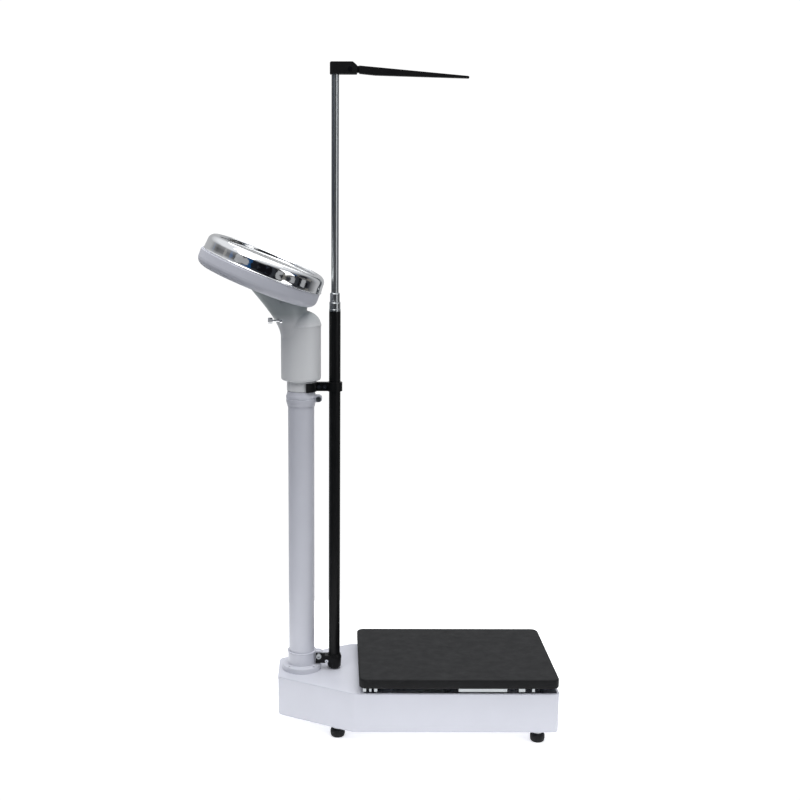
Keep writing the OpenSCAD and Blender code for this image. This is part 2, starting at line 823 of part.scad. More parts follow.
// Lower and upper plates of the movement on four posts
module movement_frame() {
    color(brass) on_dial() {
        difference() {
            union() {
                translate([-42, -18, movement_low]) cube([80, 38, 3]);
                translate([-42, -18, movement_top]) cube([80, 38, 2]);
                for (p = frame_posts) translate([p.x, p.y, -28])
                    cylinder(d = 6, h = movement_top + 28);
                // guides behind and below the rack
                for (t = [-30, 24]) translate([t, rack_y + 6.1, movement_low]) cube([8, 2.5, 10]);
            }
            translate([0, 0, movement_low - 1]) cylinder(d = 3.06, h = 20);
        }
    }
}
module movement_screws() {
    color(chrome) on_dial() for (p = frame_posts) translate([p.x, p.y, movement_top + 2])
        cylinder(d = 5.4, h = 1.8);
}

// ---------- dial case ----------

spigot_r = 113.6;

module dial_case() {
    r = case_r;
    outer_arc = [for (a = [0:-15:-90]) [r - case_round + case_round * cos(a),
        -case_depth + case_round + case_round * sin(a)]];
    inner_arc = [for (a = [-90:15:0]) [r - case_round + (case_round - wall) * cos(a),
        -case_depth + case_round + (case_round - wall) * sin(a)]];
    shell = concat([[r - 1, 0], [r - 1, -1.5], [r, -2]], outer_arc, [[0, -case_depth]],
        [[0, wall - case_depth]], inner_arc, [[r - wall, -8], [110, -4], [110, 0]]);
    color(paint) on_dial() difference() {
        union() {
            // the shell hangs slightly towards the dial's upper edge
            translate([-case_shift, 0, 0]) rotate_extrude() polygon(shell);
            translate([0, 0, -3]) tube(2 * spigot_r, 2 * (spigot_r - wall), plate_h + 3);
        }
        // passage for the crank and the pull rod
        translate([38, 0, -case_depth - 1]) cylinder(d = 26, h = 6);
        translate([88, 0, -case_depth - 1]) cylinder(d = 26, h = 6);
        translate([38, -13, -case_depth - 1]) cube([50, 26, 6]);
        for (p = case_screw_places) translate([p.x, p.y, -case_depth - 1]) cylinder(d = 5.2, h = 6);
    }
}

case_screw_places = [[2, -27], [2, 27], [80, -24], [80, 24]];

// Screws that hold the case to the neck, heads inside the case
module case_screws() {
    color(chrome) on_dial() for (p = case_screw_places)
        translate([p.x, p.y, wall - case_depth]) socket_screw(5, wall);
}

module dial_plate() {
    color("white") on_dial() translate([0, 0, plate_h]) difference() {
        cylinder(r = spigot_r, h = 1.5);
        translate([0, 0, -1]) cylinder(d = 6, h = 4);
    }
}

// Sloping ring between the dial plate and the glass
module dial_surround() {
    low = plate_h + 1.5;
    high = glass_h - 2.5;
    color("white") on_dial() rotate_extrude()
        polygon([[107, low], [112, low], [104.5, high], [99.5, high], [99.5, high - 2]]);
}
module glass_gasket() {
    color(black) on_dial() translate([0, 0, glass_h - 2.5]) tube(2 * glass_r - 0.4, 2 * 100, 2.5);
}
module dial_glass() {
    color([0.8, 0.9, 0.95, 0.35]) on_dial() translate([0, 0, glass_h]) cylinder(r = glass_r - 0.2, h = 2.5);
}

// Drawn chrome ring with a rounded shoulder
module dial_bezel() {
    shoulder = [for (a = [10:20:90]) [103 + 12.4 * cos(a), 19.6 + 11.4 * sin(a)]];
    lip = [for (a = [100:20:160]) [102 + 4 * cos(a), 27 + 4 * sin(a)]];
    inner = [[98, glass_h + 2.5], [glass_r, glass_h + 2.5], [glass_r, glass_h - 2.5],
        [107, glass_h - 4], [111.6, 19], [114, 12], [bezel_r - 3.6, 0]];
    color(chrome) on_dial() rotate_extrude()
        polygon(concat([[bezel_r, 0], [bezel_r, 1.5]], shoulder, lip, inner));
}

// Knurled knob on a shaft that enters the neck; it sets the pointer to zero
module zero_knob() {
    ridges = 18;
    color(chrome) in_frame() translate([0, knob_y, knob_z]) rotate([0, 90, 0]) {
        translate([0, 0, -60.5]) {
            cylinder(d = 10.4, h = 8.5);
            for (i = [0:ridges - 1]) rotate([0, 0, 360 * i / ridges])
                translate([5.2, 0, 0.8]) cylinder(d = 1, h = 6.9);
        }
        translate([0, 0, -53]) cylinder(d = 4, h = 25);
    }
}

// ---------- height rod ----------

bracket_low = 123;
bracket_screw_x = ear_x + 15.5;
bracket_high = 667;

// Socket for the rod's foot, its arm and the plate that bolts to the column's ear
module rod_bracket_lower() {
    socket = [[0, 106], [10, 106], [13, 109], [14.2, 128], [12.4, 134.4], [0, 134.4]];
    color(black) in_frame() difference() {
        union() {
            translate([rod_x, 0, 0]) rotate_extrude() polygon(socket);
            translate([ear_x + 9.5, -8 - ear_plate, 118]) cube([rod_x - ear_x - 12, 18, 15]);
            translate([ear_x - 6, -8 - ear_plate, 118]) cube([18, ear_plate, 20]);
        }
        translate([rod_x, 0, 112]) cylinder(d = outer_d + 0.1, h = 30);
        pin_y(ear_x, -20, clamp_top - 9, bolt_d + 0.2, 20);
        pin_y(bracket_screw_x, -20, bracket_low, 4.4, 16);
    }
}

// Strap that ties the rod to the head's neck
module rod_bracket_upper() {
    r = column_d / 2 + 2;
    color(black) in_frame() difference() {
        union() {
            translate([0, 0, bracket_high - 8]) intersection() {
                tube(2 * r + 7, 2 * r + 0.1, 17);
                translate([10, -30, 0]) cube([40, 60, 17]);
            }
            translate([r + 1, -5, bracket_high - 8]) cube([rod_x - r - 4, 10, 17]);
            translate([rod_x, 0, bracket_high - 8]) cylinder(d = outer_d + 7, h = 17);
        }
        translate([rod_x, 0, bracket_high - 9]) cylinder(d = outer_d + 0.1, h = 20);
        for (x = [34, 45]) pin_y(x, -10, bracket_high + 0.5, 4.4, 20);
    }
}

// Screws of both rod brackets
module bracket_screws() {
    color(chrome) in_frame() {
        for (x = [34, 45]) translate([x, -5, bracket_high + 0.5]) rotate([90, 0, 0]) socket_screw(4, 10);
        translate([bracket_screw_x, -8 - ear_plate, bracket_low]) rotate([90, 0, 0]) socket_screw(4, 7.5);
    }
}

outer_bottom = 112;
ferrule_h = 17;

module outer_tube() {
    color(black) in_frame() translate([rod_x, 0, outer_bottom])
        tube(outer_d, mid_d + 1, outer_top - outer_bottom);
}
module outer_ferrule() {
    color(chrome) in_frame() translate([rod_x, 0, outer_top]) rotate_extrude()
        polygon([[mid_d / 2 + 0.3, 0], [outer_d / 2, 0], [outer_d / 2, 3], [outer_d / 2 - 0.5, 4],
            [outer_d / 2 - 0.5, ferrule_h - 2], [outer_d / 2 - 0.2, ferrule_h - 1.5],
            [outer_d / 2 - 1, ferrule_h], [mid_d / 2 + 0.3, ferrule_h]]);
}

mid_top = outer_top + ferrule_h;
mid_bottom = 150;

module mid_tube() {
    color(chrome) in_frame() translate([rod_x, 0, mid_bottom])
        tube(mid_d, inner_d + 1, mid_top - mid_bottom);
}
module mid_ferrule() {
    color(chrome) in_frame() translate([rod_x, 0, mid_top + 0.2]) rotate_extrude()
        polygon([[inner_d / 2 + 0.3, 0], [mid_d / 2 + 0.5, 0], [mid_d / 2 + 0.5, 2], [mid_d / 2 + 0.2, 3],
            [mid_d / 2 + 0.2, ferrule_h - 2], [mid_d / 2 + 0.5, ferrule_h - 1.5],
            [mid_d / 2 - 0.4, ferrule_h], [inner_d / 2 + 0.3, ferrule_h]]);
}

inner_bottom = head_z - 640;

module inner_rod() {
    color(chrome) in_frame() translate([rod_x, 0, inner_bottom])
        cylinder(d = inner_d, h = head_z + 16 - inner_bottom);
}

block_h = 22;
pivot_x = rod_x + 27;
pivot_z = head_z + 9;
arm_shoulder = pivot_x + 16.5;

// Block on top of the rod, slotted for the arm
module head_block() {
    block_w = 20;
    x0 = rod_x - 7 - 3;
    x1 = rod_x + 40;
    side = [[x0, head_z], [x1, head_z], [x1, head_z + 15], [x1 - 8, head_z + block_h], [x0, head_z + block_h]];
    color(black) in_frame() difference() {
        plate_xz(-block_w / 2, block_w, rounded(side, [1.5, 1.5, 4, 4, 3]));
        translate([rod_x, 0, head_z - 1]) cylinder(d = inner_d + 0.16, h = 18);
        translate([pivot_x - 12, -4, head_z - 1]) cube([40, 8, 20]);
        pin_y(pivot_x, -20, pivot_z, 5.04, 40);
    }
}
module arm_rivet() {
    color(chrome) in_frame() {
        pin_y(pivot_x, -10, pivot_z, 4.96, 20);
        both_sides() pin_y(pivot_x, 10, pivot_z, 8, 1.4);
    }
}

// Tapering arm that is laid on the head; it folds down about the rivet
module measuring_arm() {
    tip = rod_x + arm_reach;
    top = [[arm_shoulder, head_z + 15], [tip - 2, head_z - 3]];
    low = [[tip, head_z - 4], [tip, head_z - 7], [arm_shoulder + 30, head_z - 2], [arm_shoulder, head_z + 1]];
    color(black) in_frame() difference() {
        union() {
            plate_xz(-7, 14, concat(low, top));
            pin_y(pivot_x, -3.6, pivot_z, 13, 7.2);
            plate_xz(-3.6, 7.2, [[pivot_x, pivot_z - 6.5], [arm_shoulder + 1, pivot_z - 6.5],
                [arm_shoulder + 1, pivot_z + 5.5], [pivot_x, pivot_z + 6.5]]);
        }
        pin_y(pivot_x, -20, pivot_z, 5.06, 40);
    }
}

base_housing();
foot_1();
foot_2();
foot_3();
foot_4();
foot_locknuts();
long_lever_bearings();
short_lever_bearings();
bearing_screws();
rubber_mat();
platform_tray();
platform_frame();
platform_bearings();
travel_stops();
long_lever();
long_lever_knives();
lever_link();
short_lever();
short_lever_knives();
column_flange();
flange_screws();
column_tube();
column_collar();
clamp_bolts();
spring_housing();
dial_neck();
spring_hanger();
hanger_screws();
weighing_springs();
spring_yoke();
pull_rod();
rod_head_plate();
crank_bracket();
crank_pin();
bell_crank();
rack();
pinion_shaft();
pointer();
movement_frame();
movement_screws();
dial_case();
case_screws();
dial_plate();
dial_surround();
glass_gasket();
dial_glass();
dial_bezel();
zero_knob();
rod_bracket_lower();
rod_bracket_upper();
bracket_screws();
outer_tube();
outer_ferrule();
mid_tube();
mid_ferrule();
inner_rod();
head_block();
arm_rivet();
measuring_arm();
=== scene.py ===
"""Look of the dial column scale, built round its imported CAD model.

Everything is in metres, in the CAD's frame: X runs from the column to the platform, Z is up.
"""
import json
import math

import bmesh
import bpy
from mathutils import Matrix, Vector
from mathutils.bvhtree import BVHTree


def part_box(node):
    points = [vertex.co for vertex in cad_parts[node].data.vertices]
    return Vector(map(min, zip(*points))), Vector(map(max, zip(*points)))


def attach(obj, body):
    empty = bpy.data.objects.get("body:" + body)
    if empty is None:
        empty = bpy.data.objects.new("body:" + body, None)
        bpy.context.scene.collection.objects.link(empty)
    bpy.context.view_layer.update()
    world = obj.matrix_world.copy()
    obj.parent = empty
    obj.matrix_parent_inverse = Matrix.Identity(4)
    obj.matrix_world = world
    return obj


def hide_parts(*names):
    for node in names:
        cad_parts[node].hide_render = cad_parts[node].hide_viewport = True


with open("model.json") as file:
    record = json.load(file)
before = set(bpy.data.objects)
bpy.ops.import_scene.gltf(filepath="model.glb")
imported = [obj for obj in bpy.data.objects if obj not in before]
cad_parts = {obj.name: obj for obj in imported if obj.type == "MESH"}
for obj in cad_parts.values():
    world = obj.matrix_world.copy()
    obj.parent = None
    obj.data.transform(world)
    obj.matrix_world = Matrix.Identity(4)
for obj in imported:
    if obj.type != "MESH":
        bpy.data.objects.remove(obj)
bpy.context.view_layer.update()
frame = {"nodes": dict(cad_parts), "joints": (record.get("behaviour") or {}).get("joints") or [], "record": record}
nodes = frame["nodes"]
record = frame["record"]
joints = {j["name"]: j for j in frame["joints"]}
slot_of_node = {s["node"]: s["material_slot"] for s in record["subparts"]}
scene = bpy.context.scene

MM = 0.001


# ---------- material helpers ----------

class Finish:
    """A node material round one Principled shader, with textures in object coordinates."""

    def __init__(self, name, **sockets):
        self.material = bpy.data.materials.new(name)
        self.material.use_nodes = True
        self.tree = self.material.node_tree
        self.shader = next(n for n in self.tree.nodes if n.type == "BSDF_PRINCIPLED")
        self.place = self.tree.nodes.new("ShaderNodeTexCoord").outputs["Object"]
        for socket, value in sockets.items():
            self.shader.inputs[socket.replace("_", " ")].default_value = value

    def add(self, kind, props=None, **inputs):
        node = self.tree.nodes.new(kind)
        for key, value in (props or {}).items():
            setattr(node, key, value)
        for key, value in inputs.items():
            socket = node.inputs[key.replace("_", " ")]
            if isinstance(value, bpy.types.NodeSocket):
                self.tree.links.new(value, socket)
            else:
                socket.default_value = value
        return node

    def noise(self, scale, detail=3.0, roughness=0.55, stretch=(1, 1, 1)):
        """Noise from 0 to 1, with features of about 1/scale metres."""
        where = self.add("ShaderNodeMapping", Vector=self.place, Scale=stretch)
        node = self.add("ShaderNodeTexNoise", Vector=where.outputs["Vector"], Scale=scale,
                        Detail=detail, Roughness=roughness)
        return node.outputs["Fac"]

    def cells(self, scale):
        """Distance from the nearest cell centre, for pebbled grain."""
        node = self.add("ShaderNodeTexVoronoi", Vector=self.place, Scale=scale)
        return node.outputs["Distance"]

    def spread(self, value, low, high, start=0.3, end=0.7):
        """Maps start..end of value to low..high."""
        node = self.add("ShaderNodeMapRange", Value=value, From_Min=start, From_Max=end,
                        To_Min=low, To_Max=high)
        return node.outputs["Result"]

    def colour(self, factor, first, second):
        """Base colour that drifts between two colours."""
        node = self.add("ShaderNodeMix", {"data_type": "RGBA"})
        self.tree.links.new(factor, node.inputs["Factor"])
        node.inputs[6].default_value = (*first, 1)
        node.inputs[7].default_value = (*second, 1)
        self.tree.links.new(node.outputs[2], self.shader.inputs["Base Color"])

    def roughness(self, value):
        self.tree.links.new(value, self.shader.inputs["Roughness"])

    def relief(self, *layers):
        """Bump from (height, depth in metres) layers, the coarsest first."""
        below = None
        for height, depth in layers:
            node = self.add("ShaderNodeBump", Height=height, Distance=depth, Strength=1.0)
            if below is not None:
                self.tree.links.new(below, node.inputs["Normal"])
            below = node.outputs["Normal"]
        self.tree.links.new(below, self.shader.inputs["Normal"])


def tint(colour, factor):
    return tuple(c * factor for c in colour)


def powder_coat(name, colour, gloss, shine=0.5):
    """Sprayed paint: orange peel, slow drift of tone, faint handling marks."""
    f = Finish(name, IOR=1.5, Specular_IOR_Level=shine)
    f.colour(f.spread(f.noise(9, 4), 0, 1), tint(colour, 0.965), tint(colour, 1.02))
    f.roughness(f.spread(f.noise(24, 5, 0.65), gloss, gloss + 0.12))
    f.relief((f.noise(240, 2), 0.00004), (f.noise(1300, 2), 0.000006))
    return f.material


def cast_paint(name, colour, painted_lit_colour, low, high):
    """Paint on the head casting, paler on the housing below the heights low..high and darker on the neck above:
    painted light on the housing and painted shade on the neck, which lies in the dial's shade.
    """
    f = Finish(name, IOR=1.5)
    height = f.add("ShaderNodeSeparateXYZ", Vector=f.place).outputs["Z"]
    # the step from the paler housing to the darker neck is painted light and shade, not two paints
    f.colour(f.spread(height, 0, 1, low, high), painted_lit_colour, colour)
    f.roughness(f.spread(f.noise(24, 5, 0.65), 0.32, 0.44))
    f.relief((f.noise(240, 2), 0.00004), (f.noise(1300, 2), 0.000006))
    return f.material


def plated(name, colour, low, high, grain=None):
    """Chrome or nickel: polishing marks in the gloss; grain stretches them for a brushed face."""
    f = Finish(name, Metallic=1.0)
    f.colour(f.noise(30, 3), tint(colour, 0.94), colour)
    marks = f.noise(160, 5, 0.7, grain or (1, 1, 1))
    f.roughness(f.spread(marks, low, high))
    f.relief((f.noise(420, 3, 0.6, grain or (1, 1, 1)), 0.000006 if grain is None else 0.00002))
    return f.material


def moulded(name, colour, gloss, pebble, depth):
    """Rubber or plastic from a textured mould: pebbled grain, matt patches and a little dust."""
    f = Finish(name, IOR=1.5, Specular_IOR_Level=0.18)
    dust = f.spread(f.noise(14, 6, 0.7), 0, 1, 0.42, 0.8)
    f.colour(dust, colour, tuple(c * 1.3 + 0.0015 for c in colour))
    f.roughness(f.spread(f.noise(45, 4), gloss, gloss + 0.14))
    f.relief((f.noise(90, 3), depth * 0.9), (f.cells(pebble), depth))
    return f.material


def enamel(name, colour):
    f = Finish(name, IOR=1.5)
    f.colour(f.noise(14, 3), tint(colour, 0.975), colour)
    f.roughness(f.spread(f.noise(60, 3), 0.38, 0.5))
    f.relief((f.noise(700, 2), 0.000012))
    return f.material


def window_glass(name):
    f = Finish(name, IOR=1.45, Transmission_Weight=1.0)
    f.colour(f.noise(12, 2), (0.96, 0.985, 0.98), (0.985, 1, 0.995))
    f.roughness(f.spread(f.noise(70, 4), 0.0, 0.035, 0.45, 0.8))
    return f.material


def printed(name, colour):
    f = Finish(name)
    f.colour(f.noise(900, 2), colour, tint(colour, 1.3))
    f.roughness(f.spread(f.noise(300, 2), 0.45, 0.6))
    return f.material


ALONG_Z = (1, 1, 0.02)
FINISHES = {
    "white_paint": powder_coat("white_paint_coat", (0.61, 0.62, 0.68), 0.3),
    "grey_paint": powder_coat("grey_paint_coat", (0.47, 0.50, 0.505), 0.32),
    "chrome": plated("chrome_plate", (0.82, 0.83, 0.84), 0.03, 0.10),
    "steel": plated("ground_steel", (0.56, 0.57, 0.58), 0.24, 0.42, (0.04, 1, 1)),
    "satin_rod": plated("satin_rod_plate", (0.42, 0.44, 0.45), 0.26, 0.36, ALONG_Z),
    "brass": plated("machined_brass", (0.70, 0.52, 0.25), 0.22, 0.4, (0.05, 1, 1)),
    "black_metal": powder_coat("black_enamel", (0.005, 0.0052, 0.0056), 0.3, 0.2),
    "black_plastic": moulded("black_moulding", (0.005, 0.005, 0.0055), 0.4, 1500, 0.00003),
    "mat_rubber": moulded("mat_rubber_grain", (0.0055, 0.0057, 0.0064), 0.5, 900, 0.00008),
    "foot_rubber": moulded("foot_rubber_grain", (0.009, 0.0094, 0.0098), 0.5, 1100, 0.00005),
    "dial_white": enamel("dial_enamel", (0.68, 0.69, 0.69)),
    "glass": window_glass("dial_window"),
}
# head casting: paler sleeve and dome, darker neck, as painted light and painted shade under the dial
HEAD_PAINTED_SHADE = cast_paint("head_casting_painted_shade", (0.46, 0.50, 0.50), (0.74, 0.75, 0.76), 0.79, 0.808)
INK = printed("black_print", (0.012, 0.012, 0.014))

# bright parts that are dull rather than polished
DULL = ("travel_stops", "clamp_bolts", "outer_ferrule", "mid_ferrule")

for node, obj in nodes.items():
    obj.data.materials.clear()
    obj.data.materials.append(FINISHES["satin_rod" if node in DULL else slot_of_node[node]])


# ---------- mesh helpers ----------

def shade(mesh, angle=35):
    """Smooth shading that stays crisp at edges sharper than angle degrees."""
    mesh.polygons.foreach_set("use_smooth", [True] * len(mesh.polygons))
    mesh.set_sharp_from_angle(angle=math.radians(angle))


def piece(name, mesh, body, slot, material=None, angle=35):
    """Adds a mesh as a piece that rides on a body and takes its finish from a slot."""
    shade(mesh, angle)
    obj = bpy.data.objects.new(name, mesh)
    scene.collection.objects.link(obj)
    mesh.materials.clear()
    mesh.materials.append(material or FINISHES[slot])
    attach(obj, body)
    return obj


def to_mesh(name, bm):
    bmesh.ops.recalc_face_normals(bm, faces=bm.faces)
    mesh = bpy.data.meshes.new(name)
    bm.to_mesh(mesh)
    bm.free()
    return mesh


def loft(name, rings, closed=False, caps=True):
    """Skin over equal rings of points; closed joins the last ring to the first."""
    bm = bmesh.new()
    loops = [[bm.verts.new(p) for p in ring] for ring in rings]
    count = len(loops[0])
    pairs = list(zip(loops, loops[1:])) + ([(loops[-1], loops[0])] if closed else [])
    for a, b in pairs:
        for i in range(count):
            j = (i + 1) % count
            bm.faces.new((a[i], a[j], b[j], b[i]))
    if caps and not closed:
        bm.faces.new(loops[0])
        bm.faces.new(loops[-1])
    return to_mesh(name, bm)


def arc(cx, cy, rx, ry, start, end, steps):
    """Points on an ellipse's arc, angles in degrees."""
    angles = [math.radians(start + (end - start) * i / steps) for i in range(steps + 1)]
    return [(cx + rx * math.cos(a), cy + ry * math.sin(a)) for a in angles]


def lathe(name, profile, place, segments=128):
    """Turned solid: profile is a closed loop of (radius, height) in mm, place its frame."""
    rings = []
    for k in range(segments):
        a = 2 * math.pi * k / segments
        rings.append([place @ Vector((r * MM * math.cos(a), r * MM * math.sin(a), h * MM))
                      for r, h in profile])
    return loft(name, rings, closed=True)


def outline(low, high, inset, radius, z, steps=8):
    """Rounded rectangle inside the low..high box, drawn in by inset, at height z."""
    r = max(radius - inset, 0.4 * MM)
    x0, x1 = low.x + inset + r, high.x - inset - r
    y0, y1 = low.y + inset + r, high.y - inset - r
    points = []
    for cx, cy, start in ((x1, y1, 0), (x0, y1, 90), (x0, y0, 180), (x1, y0, 270)):
        points += [(x, y, z) for x, y in arc(cx, cy, r, r, start, start + 90, steps)]
    return points


def soften(node, width, segments=2, angle=30):
    """Rounds a CAD node's sharp edges with modifiers; its own mesh stays as it is."""
    obj = nodes[node]
    shaped = obj.data.attributes.get("custom_normal")
    if shaped:
        obj.data.attributes.remove(shaped)
    obj.data.polygons.foreach_set("use_smooth", [True] * len(obj.data.polygons))
    weld = obj.modifiers.new("weld", "WELD")
    weld.merge_threshold = 1e-6
    flat = obj.modifiers.new("flat", "DECIMATE")
    flat.decimate_type = "DISSOLVE"
    flat.angle_limit = math.radians(0.3)
    bevel = obj.modifiers.new("bevel", "BEVEL")
    bevel.width = width
    bevel.segments = segments
    bevel.limit_method = "ANGLE"
    bevel.angle_limit = math.radians(angle)
    bevel.harden_normals = True


# ---------- softened castings, brackets and head ----------

for node, width in {
    "base_housing": 0.0014, "column_flange": 0.0008, "column_collar": 0.0005,
    "rod_bracket_lower": 0.0008, "rod_bracket_upper": 0.0008, "head_block": 0.0008,
    "measuring_arm": 0.0007, "foot_locknuts": 0.0005, "platform_frame": 0.0008,
    "long_lever": 0.0008, "short_lever": 0.0008, "zero_knob": 0.0004,
}.items():
    soften(node, width)


# ---------- rubber mat ----------

mat_low, mat_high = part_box("rubber_mat")
MAT_CORNER = 14 * MM
MAT_EDGE = 3.2 * MM
MAT_RECESS = 2.7 * MM
MAT_SKIN = 3.5 * MM


def rubber_mat():
    """Moulded cover: drafted sides, rolled top edge, recess for the tray underneath."""
    mid = [(0.9 * MM, mat_low.z), (0.25 * MM, mat_low.z + 0.7 * MM), (0.1 * MM, mat_low.z + 2 * MM)]
    roll = [(MAT_EDGE - x, z) for x, z in arc(0, mat_high.z - MAT_EDGE, MAT_EDGE, MAT_EDGE, 0, 90, 8)]
    rings = [outline(mat_low, mat_high, inset, MAT_CORNER, z) for inset, z in mid + roll]
    # very slight crown, so the light drifts over the top
    for inset, drop in ((9 * MM, 0.05), (26 * MM, 0.02), (60 * MM, 0.0)):
        rings.append(outline(mat_low, mat_high, inset, 60 * MM + inset * 0.2, mat_high.z - drop * MM))
    under = [outline(mat_low, mat_high, MAT_RECESS, MAT_CORNER, z)
             for z in (mat_high.z - MAT_SKIN, mat_low.z)]
    return loft("mat_cover", under + rings)


mat_cover = piece("mat_cover", rubber_mat(), "platform", "mat_rubber", angle=50)
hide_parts("rubber_mat")


# ---------- bright collars over the feet ----------

# just above the rubber pad, round the hexagon on the stud
FOOT_COLLAR = [(4.8, 16.05), (8.6, 16.05), (8.9, 16.6), (8.9, 19.6), (8.6, 20.1), (4.8, 20.1)]

for foot in ("foot_1", "foot_2", "foot_3", "foot_4"):
    foot_low, foot_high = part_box(foot)
    foot_middle = (foot_low + foot_high) / 2
    foot_place = Matrix.Translation((foot_middle.x, foot_middle.y, foot_low.z))
    piece(foot + "_collar", lathe(foot + "_collar", FOOT_COLLAR, foot_place, 48), foot, "steel")


# ---------- dial ----------

pivot = joints["pointer_turn"]
dial_up = -Vector(pivot["axis"]).normalized()
dial_down = Vector((0, 1, 0)).cross(dial_up)
DIAL = Matrix.Translation(pivot["pos_m"]) @ Matrix((dial_down, (0, 1, 0), dial_up)).transposed().to_4x4()
# printed face above the pivot, in mm
FACE_H = 9.5
PRINT_LIFT = 0.03
PRINT_THICK = 0.06
# the joint's range runs this much past full load
RANGE_MARGIN = 1.001
FULL_TURN = math.radians(pivot["range_deg"][1]) / RANGE_MARGIN
FULL_LOAD = 120
# radii of the marks' outer end, the figures and the unit, in mm
TICK_R = 98.0
FIGURE_R = 75
UNIT_R = 38


def dial_spot(radius, turn, height=FACE_H):
    """Point on the dial, turn measured clockwise from the zero mark."""
    return DIAL @ Vector((-radius * MM * math.cos(turn), radius * MM * math.sin(turn), height * MM))


def bars(name, marks):
    """Thin raised bars from (four corners, raise) rows."""
    bm = bmesh.new()
    for corners, rise in marks:
        low = [bm.verts.new(c) for c in corners]
        high = [bm.verts.new(Vector(c) + rise) for c in corners]
        bm.faces.new(low[::-1])
        bm.faces.new(high)
        for i in range(4):
            j = (i + 1) % 4
            bm.faces.new((low[i], low[j], high[j], high[i]))
    return to_mesh(name, bm)


def dial_ticks():
    """Kilogram marks, longer at every fifth and longest at every tenth."""
    marks = []
    for kg in range(FULL_LOAD + 1):
        turn = FULL_TURN * kg / FULL_LOAD
        if kg % 10 == 0:
            length, width = 13, 1.5
        elif kg % 5 == 0:
            length, width = 9, 1.0
        else:
            length, width = 5.5, 0.55
        half = width / 2 / TICK_R
        inner = TICK_R - length
        corners = [dial_spot(TICK_R, turn - half), dial_spot(TICK_R, turn + half),
                   dial_spot(inner, turn + half), dial_spot(inner, turn - half)]
        marks.append((corners, dial_up * PRINT_THICK * MM))
    return bars("dial_ticks", marks)


def lettering(name, rows, size):
    """One mesh of generic figures from (text, 4x4 place) rows."""
    bm = bmesh.new()
    for text, place in rows:
        curve = bpy.data.curves.new("figure", "FONT")
        curve.body = text
        curve.size = size * MM
        curve.align_x = "CENTER"
        curve.align_y = "CENTER"
        curve.extrude = 0.03 * MM
        curve.resolution_u = 3
        obj = bpy.data.objects.new("figure", curve)
        scene.collection.objects.link(obj)
        bpy.context.view_layer.update()
        mesh = bpy.data.meshes.new_from_object(obj.evaluated_get(bpy.context.evaluated_depsgraph_get()))
        mesh.transform(place)
        bm.from_mesh(mesh)
        bpy.data.objects.remove(obj)
        bpy.data.meshes.remove(mesh)
        bpy.data.curves.remove(curve)
    bmesh.ops.remove_doubles(bm, verts=bm.verts, dist=1e-7)
    return to_mesh(name, bm)


def upright(spot):
    """Frame for a figure that reads upright from the platform's side."""
    right = Vector((0, 1, 0))
    up = -dial_down
    return Matrix.Translation(spot) @ Matrix((right, up, dial_up)).transposed().to_4x4()


figures = [(str(kg), upright(dial_spot(FIGURE_R, FULL_TURN * kg / FULL_LOAD, FACE_H + PRINT_LIFT)))
           for kg in range(0, FULL_LOAD + 1, 10)]
piece("dial_ticks", dial_ticks(), "stand", "black_metal", INK)
piece("dial_figures", lettering("dial_figures", figures, 11), "stand", "black_metal", INK)
unit = [("kg", upright(dial_spot(UNIT_R, math.pi, FACE_H + PRINT_LIFT)))]
piece("dial_unit", lettering("dial_unit", unit, 13), "stand", "black_metal", INK)


def ring_profile(inner, outer, low, high):
    return [(inner, low), (outer, low), (outer, high), (inner, high)]


line_profile = ring_profile(98.2, 98.9, FACE_H, FACE_H + PRINT_THICK)
piece("dial_line", lathe("dial_line", line_profile, DIAL, 192), "stand", "black_metal", INK)

# cap over the pointer's hub
cap = [(7.6, 14.2), (7.6, 15.4)] + arc(0, 15.4, 7.6, 2.4, 0, 89, 8) + [(0.02, 14.2)]
piece("pointer_cap", lathe("pointer_cap", cap, DIAL, 64), "pointer", "chrome")

# drawn chrome ring: beaded foot, near-upright side, rounded shoulder and a lip over the glass
bezel = ([(114.4, 0.0), (117.6, 0.0)] + arc(117.4, 0.9, 0.9, 0.9, -60, 70, 5)
         + [(117.3, 3.0), (116.9, 8.0), (116.4, 13.0)]
         + arc(103, 17.6, 13.2, 13.4, 8, 90, 14) + arc(102, 27, 4, 4, 98, 170, 8)
         + [(98, 26.5), (105, 26.5), (105, 21.5), (107, 20), (111.4, 17)])
bezel_ring = piece("bezel_ring", lathe("bezel_ring", bezel, DIAL, 192), "stand", "chrome", angle=40)
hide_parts("dial_bezel")


# ---------- head casting ----------

# height at which the sleeve ends and the dome begins, and the bead's radius in mm
RIM_Z = 0.785
BEAD_R = 1.9


